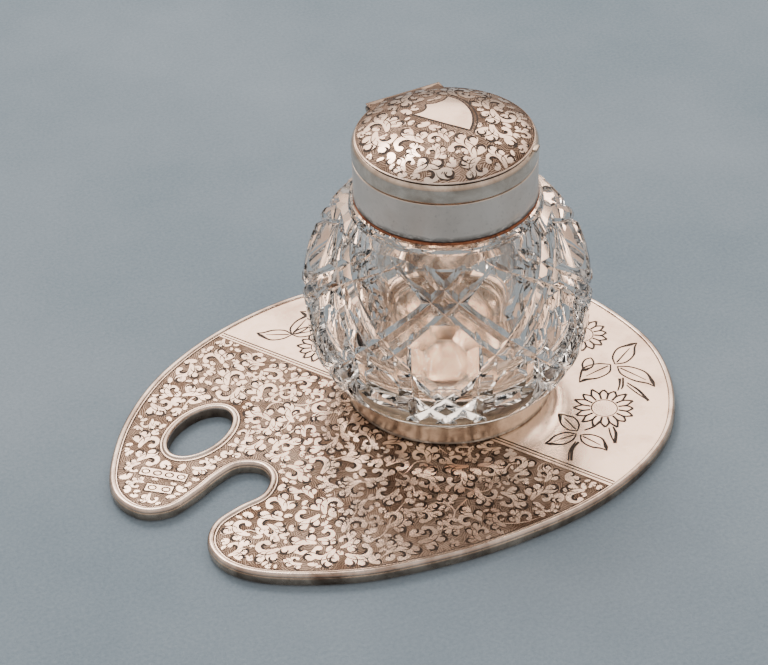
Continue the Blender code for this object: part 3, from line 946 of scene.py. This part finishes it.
def under_plate():
    """The plain back of the sheet, which hangs above the surface that the palette stands on."""
    loops = [inset(outline, 2.42)[::3], inset(hole_outer, 0.15)[::3]]
    first = len(loops[0])
    rings = [list(range(first)), list(range(first, first + len(loops[1])))]
    flat, cells, origins = triangulated(np.vstack(loops), rings)
    faces = [tuple(reversed(cell)) for cell, ids in zip(cells, origins) if 0 in ids and 1 not in ids]
    verts = [(*p, PLATE_Z - 1.0) for p in flat]
    made = new_object("palette_underside", verts, faces, [SILVER_RIM], smooth=False, solid=False)
    return settle(made, "palette", "polished_silver")


under_plate()


def uneven(strength, seed, lobes=(3, 5, 9, 14)):
    """Small hand-made departures from a true circle."""
    own = random.Random(seed)
    terms = [(n, own.uniform(0, 6.28), own.uniform(0.4, 1.0) / n ** 0.5) for n in lobes]

    def wobble(angle, radius, height):
        shift = sum(size * np.sin(n * angle + phase) for n, phase, size in terms)
        rise = 0.5 * strength * np.roll(shift, 7) * (height > height.min() + 0.3)
        return radius + strength * shift * np.ones_like(radius), height + rise

    return wobble


GALLERY_LOW, GALLERY_TOP = gallery_low[2], gallery_high[2]
GALLERY_PROFILE = rounded([
    *about(GALLERY_R, GALLERY_LOW, (-0.95, -0.2), (0.12, -0.2), (0.14, 0.1), (-0.02, 0.4), (-0.12, 1.3)),
    *about(GALLERY_R, GALLERY_TOP, (-0.1, -1.5), (0.1, -0.6), (0.02, -0.05), (-0.3, 0), (-0.62, -0.1),
           (-0.8, -0.7)),
    (GALLERY_R - 0.85, GALLERY_LOW + 1.0),
])
gallery = lathe("gallery_ring_fine", GALLERY_PROFILE, SILVER_GALLERY, wobble=uneven(0.09, 3), crease=50.0)
settle(gallery, "palette", "tarnished_silver", "gallery_ring")

# ---------------------------------------------------------------- glass

BASE_Z = glass_low[2]
MID_Z = BASE_Z + 25.9
BODY_R = 34.6
BODY_RISE, BODY_DROP, BODY_POWER = 33.0, 28.6, 2.3
SHOULDER_Z, FOOT_Z = 53.6, 12.6
FOOT_R = 24.1
NECK_R, BORE_R = 19.2, 14.5
NECK_TOP = glass_high[2]
FOLD = 7
STEP = 360.0 / FOLD
FIRST = -111.3
WINDOW_AT, UPPER_AT, LOWER_AT = 8.4, 34.6, -4.6


def body_radius(z):
    reach = np.where(z > MID_Z, BODY_RISE, BODY_DROP)
    return BODY_R * np.maximum(1 - (np.abs(z - MID_Z) / reach) ** BODY_POWER, 0.0) ** (1 / BODY_POWER)


def radius_at(z):
    return float(body_radius(np.array(z)))


def on_body(azimuth, latitude):
    """A point of the uncut body seen from its middle, and its outward normal; degrees."""
    latitude = math.radians(latitude)
    low, high = 5.0, 60.0
    for _ in range(40):
        reach = (low + high) / 2
        inside_body = reach * math.cos(latitude) < radius_at(MID_Z + reach * math.sin(latitude))
        low, high = (reach, high) if inside_body else (low, reach)
    z = MID_Z + low * math.sin(latitude)
    radius = low * math.cos(latitude)
    slope = (radius_at(z + 0.05) - radius_at(z - 0.05)) / 0.1
    a = math.radians(azimuth)
    normal = np.array([math.cos(a), math.sin(a), -slope])
    at = np.array([AXIS[0] + radius * math.cos(a), AXIS[1] + radius * math.sin(a), z])
    return at, normal / np.linalg.norm(normal)


def glass_profile():
    """From the middle of the cavity's floor, up inside, over the lip and down to the middle of the base."""
    wall = [*about(0, BASE_Z + 12.2, (0, 0), (10.0, 0.1), (15.4, 0.6), (18.2, 2.0), (19.6, 4.8),
                   (20.1, 10.0)),
            *about(0, MID_Z, (20.1, 4.0), (19.6, 10.0), (18.2, 15.0), (16.2, 18.8), (14.9, 21.6),
                   (BORE_R, 25.0)),
            (BORE_R, NECK_TOP - 0.6)]
    lip = [(BORE_R + 0.4, NECK_TOP), (NECK_R - 0.5, NECK_TOP), (NECK_R, NECK_TOP - 0.5), (NECK_R, 57.9)]
    neck = [(19.7, 57.6), (21.9, 57.5), (22.35, 57.1), (22.5, 56.5), (22.3, 56.0), (22.6, 55.6), (24.2, 54.9),
            (25.4, 54.2)]
    body = [(radius_at(z), float(z)) for z in np.linspace(SHOULDER_Z, FOOT_Z, 64)]
    foot = [(29.4, 12.3), (28.7, 12.1), (28.35, 11.8), (28.2, 11.3), (28.1, 10.8), (27.8, 10.2), (27.3, 9.75),
            (26.6, 9.4), (25.9, 9.25), (24.8, 9.15), (FOOT_R - 0.25, 8.9),
            *about(0, BASE_Z, (FOOT_R - 0.3, 0.6), (FOOT_R - 0.9, 0), (20.0, 0), (18.0, 0.5), (0.0, 0.9))]
    return np.array([tuple(p) for p in spline(wall, 5)] + lip + neck + body + foot)


def carve(obj, cutters, crease):
    """Cuts the cutters out of an object, removes them, and marks its sharp edges again."""
    for cutter in cutters:
        modifier = obj.modifiers.new(cutter.name, "BOOLEAN")
        modifier.operation = "DIFFERENCE"
        modifier.object = cutter
        modifier.solver = "MANIFOLD"
    depsgraph = bpy.context.evaluated_depsgraph_get()
    mesh = bpy.data.meshes.new_from_object(obj.evaluated_get(depsgraph))
    obj.modifiers.clear()
    obj.data = mesh
    for cutter in cutters:
        bpy.data.objects.remove(cutter)
    soften(mesh, crease)


def turned_solid(name, profile, steps):
    """A closed solid whose profile starts and ends on the axis."""
    angle = whole_turn(steps)[:, None]
    inner = profile[1:-1]
    n = len(inner)
    ring = np.stack([AXIS[0] + np.cos(angle) * inner[None, :, 0], AXIS[1] + np.sin(angle) * inner[None, :, 0],
                     np.repeat(inner[None, :, 1], steps, 0)], -1).reshape(-1, 3)
    verts = np.vstack([ring, [(*AXIS, profile[0, 1]), (*AXIS, profile[-1, 1])]])
    faces = grid_faces(steps, n, True, False)
    for i in range(steps):
        j = (i + 1) % steps
        faces.append((len(ring), j * n, i * n))
        faces.append((len(ring) + 1, i * n + n - 1, j * n + n - 1))
    return new_object(name, verts, faces, [GLASS])


def mitre(points, normals, depth, half_width, lift=1.2, run_out=3.0):
    """A V-shaped cut along points on the body that runs out at both ends."""
    along = np.gradient(points, axis=0)
    along /= np.linalg.norm(along, axis=1)[:, None]
    side = np.cross(normals, along)
    side /= np.linalg.norm(side, axis=1)[:, None]
    wide = half_width * (depth + lift) / depth
    travel = np.concatenate([[0.0], np.cumsum(np.linalg.norm(np.diff(points, axis=0), axis=1))])
    from_end = np.minimum(travel, travel[-1] - travel)[:, None]
    points = points + normals * (depth + 0.1) * (1 - np.clip(from_end / run_out, 0.0, 1.0) ** 0.6)
    top = points + normals * lift
    verts = np.stack([points - normals * depth, top + side * wide, top - side * wide], 1).reshape(-1, 3)
    last = len(verts)
    faces = grid_faces(len(points), 3, False, True) + [(0, 1, 2), (last - 3, last - 1, last - 2)]
    return verts, faces


def window_frame(azimuth, latitude, depth):
    """The middle of a flat window cut to a depth, and its outward, sideways and upward directions."""
    at, _ = on_body(azimuth, latitude)
    a, b = math.radians(azimuth), math.radians(latitude)
    out = np.array([math.cos(a) * math.cos(b), math.sin(a) * math.cos(b), math.sin(b)])
    side = np.array([-math.sin(a), math.cos(a), 0.0])
    return at - out * depth, out, side, np.cross(out, side)


def plane_cut(azimuth, latitude, depth, half=9.0, thick=8.0):
    """A slab that polishes a flat window."""
    at, out, side, up = window_frame(azimuth, latitude, depth)
    verts = [at + side * x * half + up * y * half + out * z
             for z in (0.0, thick) for x, y in ((-1, -1), (1, -1), (1, 1), (-1, 1))]
    return np.array(verts), SLAB_FACES


def bevel_cut(azimuth, latitude, depth, half, turn, slope, wide=3.4, long=3.1, thick=5.0):
    """A slab that slopes down from one side of a flat window, in the direction turn round the window."""
    at, out, side, up = window_frame(azimuth, latitude, depth)
    t, fall = math.radians(turn), math.radians(slope)
    away = side * math.cos(t) + up * math.sin(t)
    edge = at + away * math.hypot(half[0] * math.cos(t), half[1] * math.sin(t))
    across = np.cross(out, away)
    down = away * math.cos(fall) - out * math.sin(fall)
    rise = out * math.cos(fall) + away * math.sin(fall)
    verts = [edge + across * x * wide + down * y + rise * z
             for z in (0.0, thick) for x, y in ((-1, 0.0), (1, 0.0), (1, long), (-1, long))]
    return np.array(verts), SLAB_FACES


# The cuts' points, as azimuth from a window's middle and latitude.
CUT_UPPER = [(-10.5, 46.0), (-6.9, 42.3), (0.7, 36.7), (6.5, 31.5), (14.2, 25.3), (23.5, 16.8), (34.0, 6.8),
             (44.0, -2.5), (51.4, -9.5), (60.0, -18.0), (65.0, -23.0), (69.5, -27.6)]
CUT_LOWER = [(-30.0, 46.5), (-23.5, 42.4), (-15.9, 38.2), (-8.8, 34.3), (1.0, 27.0), (6.8, 21.5),
             (17.1, 12.1), (25.7, 3.5), (34.0, -5.0), (42.0, -13.0), (51.4, -22.0), (56.5, -27.6)]
CUT_BESIDE = [(12.2, 22.0), (12.4, 10.0), (12.4, -10.0), (12.8, -22.0), (13.0, -27.6)]
CUT_ABOVE = [(-9.5, 23.0), (-4.0, 23.2), (0.0, 23.2), (4.0, 23.2), (9.5, 23.0)]
CUT_BELOW = [(-9.5, -4.2), (-4.0, -4.4), (0.0, -4.4), (4.0, -4.4), (9.5, -4.2)]
CUT_LOWEST = [(17.5, -11.8), (22.0, -12.0), (25.7, -12.0), (29.4, -12.0), (33.9, -11.8)]
# A cut's points, depth, half width and steps; the paired ones have a mirror image.
PAIRED_CUTS = [(CUT_UPPER, 0.95, 1.4, 2), (CUT_LOWER, 0.95, 1.4, 2), (CUT_BESIDE, 0.9, 1.3, 4)]
SINGLE_CUTS = [(CUT_ABOVE, 0.9, 1.3, 2), (CUT_BELOW, 0.9, 1.3, 2), (CUT_LOWEST, 0.9, 1.3, 2)]


def cut_along(centre, hand, route, depth, half_width, steps):
    found = [on_body(centre + hand * azimuth, latitude) for azimuth, latitude in spline(route, steps)]
    return mitre(*(np.array(item) for item in zip(*found)), depth, half_width)


def cuts_round(centre):
    """All cuts of one window and of the space after it."""
    between = centre + STEP / 2
    cuts = [plane_cut(*cut) for cut in ((centre, WINDOW_AT, 0.9), (between, UPPER_AT, 0.95),
                                        (between, LOWER_AT, 0.9))]
    cuts += [bevel_cut(centre, WINDOW_AT, 0.9, (4.9, 6.0), turn, 30.0) for turn in range(0, 360, 45)]
    cuts += [bevel_cut(between, LOWER_AT, 0.9, (4.2, 3.0), turn, 32.0) for turn in range(0, 360, 90)]
    cuts += [cut_along(centre, hand, *cut) for hand in (1, -1) for cut in PAIRED_CUTS]
    return cuts + [cut_along(centre, 1, *cut) for cut in SINGLE_CUTS]


cutters = []
for index, copies in enumerate(zip(*(cuts_round(FIRST + k * STEP) for k in range(FOLD)))):
    verts, faces = [], []
    for points, corners in copies:
        faces += [tuple(c + len(verts) for c in face) for face in corners]
        verts += list(points)
    cutters.append(new_object(f"cutter_{index}", verts, faces))
bottle = turned_solid("cut_glass_bottle", glass_profile(), 288)
carve(bottle, cutters, 11.0)
settle(bottle, "bottle", "cut_glass", "glass_bottle")

RESIDUE = about(0, MID_Z, (8.0, -13.4), (15.0, -13.0), (17.8, -11.4), (19.2, -8.8), (19.75, -3.0),
                (19.75, 4.0), (19.25, 9.9), (17.9, 14.8), (15.9, 18.6), (14.6, 21.4))
DRIED_INK = residue_material(MID_Z + 1.0, MID_Z + 9.0)
residue = lathe("dried_ink", spline(RESIDUE, 5), DRIED_INK, 128, closed=False)
settle(residue, "bottle", "cement")

# ---------------------------------------------------------------- collar

RING_Z, RING_TOP = ring_low[2], ring_high[2]
# Knocks along the band's lower edge: azimuth, depth and spread.
KNOCKS = [(-62, 0.20, 7.0), (-75, 0.12, 4.0), (-48, 0.14, 5.0), (-128, 0.10, 5.0), (60, 0.14, 8.0)]


def bruised(angle, radius, height):
    for at, size, spread in KNOCKS:
        away = (np.degrees(angle) - at + 180) % 360 - 180
        low = np.exp(-((height - BAND_Z - 0.9) / 1.3) ** 2)
        radius = radius - size * np.exp(-(away / spread) ** 2) * low * (radius > COLLAR_R - 0.4)
    return radius, height


BAND_PROFILE = rounded([
    *about(COLLAR_R, BAND_Z, (-0.62, 0.05), (-0.1, 0), (0.12, 0.3), (0.02, 0.9), (-0.05, 2.5)),
    *about(COLLAR_R, BAND_TOP, (-0.05, -1.0), (-0.04, -0.14), (-0.3, -0.02), (-0.8, 0)),
    (COLLAR_R - 0.8, BAND_Z + 1.0),
], 0.3)
band = lathe("collar_band_fine", BAND_PROFILE, SILVER_BAND, 320, bruised, 40.0)
settle(band, "bottle", "polished_silver", "collar_band")

RING_PROFILE = rounded([
    *about(COLLAR_R, RING_Z, (-0.3, 0.02), (-0.04, 0.16), (0, 0.4)),
    *about(COLLAR_R, RING_TOP, (0.02, -1.9), (-0.02, -1.1), (-0.28, -0.5), (-0.8, -0.04), (-1.3, 0),
           (-2.1, 0)),
    (COLLAR_R - 2.1, RING_Z + 0.02),
], 0.4)
ring = lathe("collar_top_ring_fine", RING_PROFILE, SILVER_RING, 320, crease=40.0)
settle(ring, "bottle", "polished_silver", "collar_top_ring")

cement_r = radius_mm("neck_cement")
CEMENT_PROFILE = rounded([
    (NECK_R + 0.05, cement_low[2] - 0.15), (cement_r + 0.25, cement_low[2] - 0.15),
    (cement_r + 0.3, BAND_Z - 0.02), (NECK_R + 1.0, BAND_Z + 0.1),
    (NECK_R + 1.0, cement_high[2]), (NECK_R + 0.05, cement_high[2]),
])
cement = lathe("neck_cement_fine", CEMENT_PROFILE, cement_material(), 220, uneven(0.07, 5, (7, 13, 23, 31)))
settle(cement, "bottle", "cement", "neck_cement")

# ---------------------------------------------------------------- lid

LID_Z = lid_low[2]
LID_TOP, LID_EDGE_Z = lid_high[2] + 0.7, LID_Z + 0.22
DOME_POWER = 2.8

to_hinge = HINGE_AT[:2] - AXIS
HINGE_REACH = float(np.linalg.norm(to_hinge))
OUTWARD = to_hinge / np.linalg.norm(to_hinge)
ALONG = np.array([-OUTWARD[1], OUTWARD[0]])
leaf_points = np.array([v.co for v in frame["nodes"]["lid_hinge_leaf"].data.vertices]) / MM
LEAF_REACH = float(((leaf_points[:, :2] - AXIS) @ OUTWARD).max())
LEAF_HALF = float(np.abs((leaf_points[:, :2] - AXIS) @ ALONG).max())
LEAF_TOP = float(leaf_points[:, 2].min()) + 0.28


def dome(points):
    """Places flat points on the lid's shallow dome, and level on the hinge leaf."""
    points = np.asarray(points)
    radius = np.hypot(*points.T)
    share = np.minimum(radius / (LID_R - 0.1), 1.0)
    rise = LID_TOP - LID_EDGE_Z
    height = LID_EDGE_Z + rise * (1 - share ** DOME_POWER)
    slope = DOME_POWER * rise * share ** (DOME_POWER - 1) / (LID_R - 0.1)
    out = points / np.maximum(radius, TINY)[:, None]
    normal = np.column_stack([out * slope[:, None], np.ones(len(radius))])
    normal /= np.linalg.norm(normal, axis=1)[:, None]
    on_leaf = (points @ OUTWARD > LEAF_REACH - 2.6) & (np.abs(points @ ALONG) < LEAF_HALF + 0.3)
    level = on_leaf & (height < LEAF_TOP)
    height[level] = LEAF_TOP
    normal[level] = (*(OUTWARD * 0.42), 0.9)
    return np.column_stack([points + AXIS, height]), normal


def lid_outline(radius, reach, half):
    """The lid's circle with the straight hinge leaf at its back."""
    rest = headings(whole_turn(180)) * radius
    keep = (np.abs(rest @ ALONG) > half) | (rest @ OUTWARD < 0)
    start = int(np.argmax(keep & ~np.roll(keep, 1)))
    rest = np.roll(rest, -start, 0)[:int(keep.sum())]
    first, last = (math.copysign(half, float(rest[i] @ ALONG)) for i in (0, -1))
    root = math.sqrt(radius ** 2 - half ** 2)
    back = [(last, root), (last, reach), (last / 2, reach), (0.0, reach), (first / 2, reach), (first, reach),
            (first, root)]
    return np.vstack([rest, [OUTWARD * y + ALONG * x for x, y in back]])


# The blank shield's four sides, each with its steps, and a second line outside its right side.
SHIELD = [([(-5.7, 5.6), (-3.6, 5.7), (-2.0, 6.8), (-1.3, 8.8)], 6),
          ([(-1.3, 8.8), (0.8, 8.4), (3.2, 9.2), (5.0, 11.1)], 6),
          ([(5.0, 11.1), (6.9, 6.9), (7.1, 1.7), (5.9, -2.5), (4.0, -5.7)], 8),
          ([(4.0, -5.7), (0.6, -2.2), (-2.7, 1.6), (-5.7, 5.6)], 8)]
SHIELD_SHADOW = [(5.9, 11.3), (7.8, 6.9), (8.0, 1.5), (6.8, -2.9), (4.5, -6.7)]

shield_sides = [spline(*side) for side in SHIELD]
shield = np.vstack([side[:-1] for side in shield_sides])


def free_on_lid(points):
    return ((points ** 2).sum(1) < (LID_R - 0.35) ** 2) & ~inside(inset(anticlockwise(shield), -0.7), points)


lid_field = Field((-LID_R, -LID_R), (LID_R, LID_R), free_on_lid)
lid_strokes = scrolls(random.Random(23), lid_field, 6.8, 0.06)
lid_strokes += [even_line(side, 0.5) for side in shield_sides] + [even_line(spline(SHIELD_SHADOW), 0.4)]
# Extra points let the plain parts of the lid follow the dome.
grid = np.stack(np.meshgrid(*[np.arange(-20, 21, 1.3)] * 2), -1).reshape(-1, 2)
grid = grid[(grid ** 2).sum(1) < (LID_R - 0.6) ** 2]
lid_top = engrave("lid_top_engraved", lid_outline(LID_R - 0.12, LEAF_REACH + 0.03, LEAF_HALF + 0.03), [],
                  [(GROUND_RANK, lid_outline(LID_R - 0.3, LEAF_REACH - 0.05, LEAF_HALF - 0.05)),
                   (LEAF, anticlockwise(shield))], lid_strokes, dome,
                  [SILVER_PLATE, GROUND_LID, GROOVE], grid)
settle(lid_top, "lid", "engraved_silver", "lid_top")

LIP_PROFILE = rounded([
    *about(LID_R, LID_EDGE_Z, (-0.12, 0), (0, -0.06)),
    *about(LID_R, LID_Z, (0, 0.08), (-0.1, 0), (-1.4, 0), (-1.4, 0.15)), (LID_R - 0.5, LID_EDGE_Z - 0.05),
], 0.3)
lip = lathe("lid_edge", LIP_PROFILE, SILVER_RIM, 320, crease=40.0)


def clear_hinge(obj, inner, half, low, deep=8.0, high=12.0):
    """Cuts a piece away outside a line beside the hinge, above a height, to make room for the hinge."""
    corners = [(-half, inner), (half, inner), (half, inner + deep), (-half, inner + deep)]
    verts = [(*(AXIS + OUTWARD * y + ALONG * x), z) for z in (low, low + high) for x, y in corners]
    carve(obj, [new_object("hinge_room", verts, SLAB_FACES)], 40.0)


clear_hinge(ring, HINGE_REACH - 1.2, LEAF_HALF + 0.5, box_mm("collar_hinge_seat")[0][2] - 0.2)
clear_hinge(lip, HINGE_REACH - 1.3, LID_R, LID_Z - 1.0)
settle(lip, "lid", "polished_silver")

hollow = LID_TOP - LID_Z - 0.8
INSIDE = [(r * (LID_R - 1.4), LID_Z + 0.1 + hollow * (1 - r ** 2.4)) for r in np.linspace(0.02, 1, 14)]
settle(lathe("lid_inside", INSIDE, SILVER_COLLAR, 160, closed=False), "lid", "polished_silver")

rim_r = radius_mm("lid_inner_rim")
RIM_PROFILE = rounded([
    (rim_r - 0.7, rim_high[2]), *about(rim_r, rim_low[2], (-0.7, 0.2), (-0.5, 0), (-0.2, 0), (0, 0.3)),
    (rim_r, rim_high[2]),
], 0.3)
rim = lathe("lid_inner_rim_fine", RIM_PROFILE, SILVER_COLLAR, 220)
settle(rim, "lid", "polished_silver", "lid_inner_rim")

leaf = finer("lid_hinge_leaf", "lid", "polished_silver", SILVER_SHADED, 0.1)
for vertex in leaf.data.vertices:
    vertex.co.z = min(vertex.co.z, (LEAF_TOP - 0.03) * MM)
for node in ("lid_knuckle_2", "lid_knuckle_4"):
    finer(node, "lid", "polished_silver", SILVER_SHADED, 0.12)
# The lift lug takes the darker silver as painted shade.
finer("lid_lift_lug", "lid", "polished_silver", SILVER_DARKENED, 0.12)
for node in ("collar_hinge_seat", "collar_knuckle_1", "collar_knuckle_3", "collar_knuckle_5"):
    finer(node, "bottle", "polished_silver", SILVER_SHADED, 0.12)
# The hinge pin takes the darker silver as painted shade.
finer("hinge_pin", "bottle", "tarnished_silver", SILVER_DARKENED, 0.08)

# ---------------------------------------------------------------- surroundings

FLOOR = 3000
floor = new_object("floor", [(-FLOOR, -FLOOR, 0), (FLOOR, -FLOOR, 0), (FLOOR, FLOOR, 0), (-FLOOR, FLOOR, 0)],
                   [(0, 1, 2, 3)], [paper_material()], smooth=False, solid=False)

# The studio round the object, from below to above: height as a share, and colour.
SKY = [(0.0, (0.52, 0.49, 0.47)), (0.35, (0.74, 0.67, 0.62)), (0.62, (1.0, 0.86, 0.77)), (1.0, WHITE)]
world = bpy.data.worlds.new("studio")
bpy.context.scene.world = world
world.use_nodes = True
tree = world.node_tree
where = tree.nodes.new("ShaderNodeTexCoord")
split = tree.nodes.new("ShaderNodeSeparateXYZ")
ramp = tree.nodes.new("ShaderNodeValToRGB")
set_stops(ramp.color_ramp, SKY)
tree.links.new(where.outputs["Generated"], split.inputs["Vector"])
tree.links.new(split.outputs["Z"], ramp.inputs["Fac"])
tree.links.new(ramp.outputs["Color"], tree.nodes["Background"].inputs["Color"])
tree.nodes["Background"].inputs["Strength"].default_value = 0.84


def softbox(name, at, aim, size, power, colour):
    light = bpy.data.lights.new(name, "AREA")
    light.shape = "RECTANGLE"
    light.size, light.size_y = size
    light.energy = power
    light.color = colour
    made = add_object(name, light)
    made.location = at
    made.rotation_mode = "QUATERNION"
    made.rotation_quaternion = (Vector(aim) - Vector(at)).to_track_quat("-Z", "Y")


LIT = (0.0, 0.0, 0.03)
softbox("back_softbox", (0.25, 1.0, 0.95), LIT, (1.6, 1.0), 11.5, (1.0, 0.88, 0.78))
softbox("top_softbox", (-0.1, 0.95, 1.25), LIT, (0.5, 0.5), 8.0, (1.0, 0.94, 0.90))

# The camera, fitted to the photograph: metres and degrees.
AIM = Vector((0.0086, 0.0292, 0.0031))
AZIMUTH, ELEVATION, ROLL, DISTANCE = -17.69, 37.68, 2.35, 0.508
LENS, SENSOR = 93.75, 36.0
camera_data = bpy.data.cameras.new("camera")
camera_data.lens = LENS
camera_data.sensor_width = SENSOR
camera = add_object("camera", camera_data)
bpy.context.scene.camera = camera
a, e = math.radians(AZIMUTH), math.radians(ELEVATION)
back = Vector((math.sin(a) * math.cos(e), -math.cos(a) * math.cos(e), math.sin(e)))
roll = Matrix.Rotation(math.radians(-ROLL), 4, back)
camera.location = AIM + back * DISTANCE
camera.rotation_mode = "QUATERNION"
camera.rotation_quaternion = (roll @ (-back).to_track_quat("-Z", "Y").to_matrix().to_4x4()).to_quaternion()
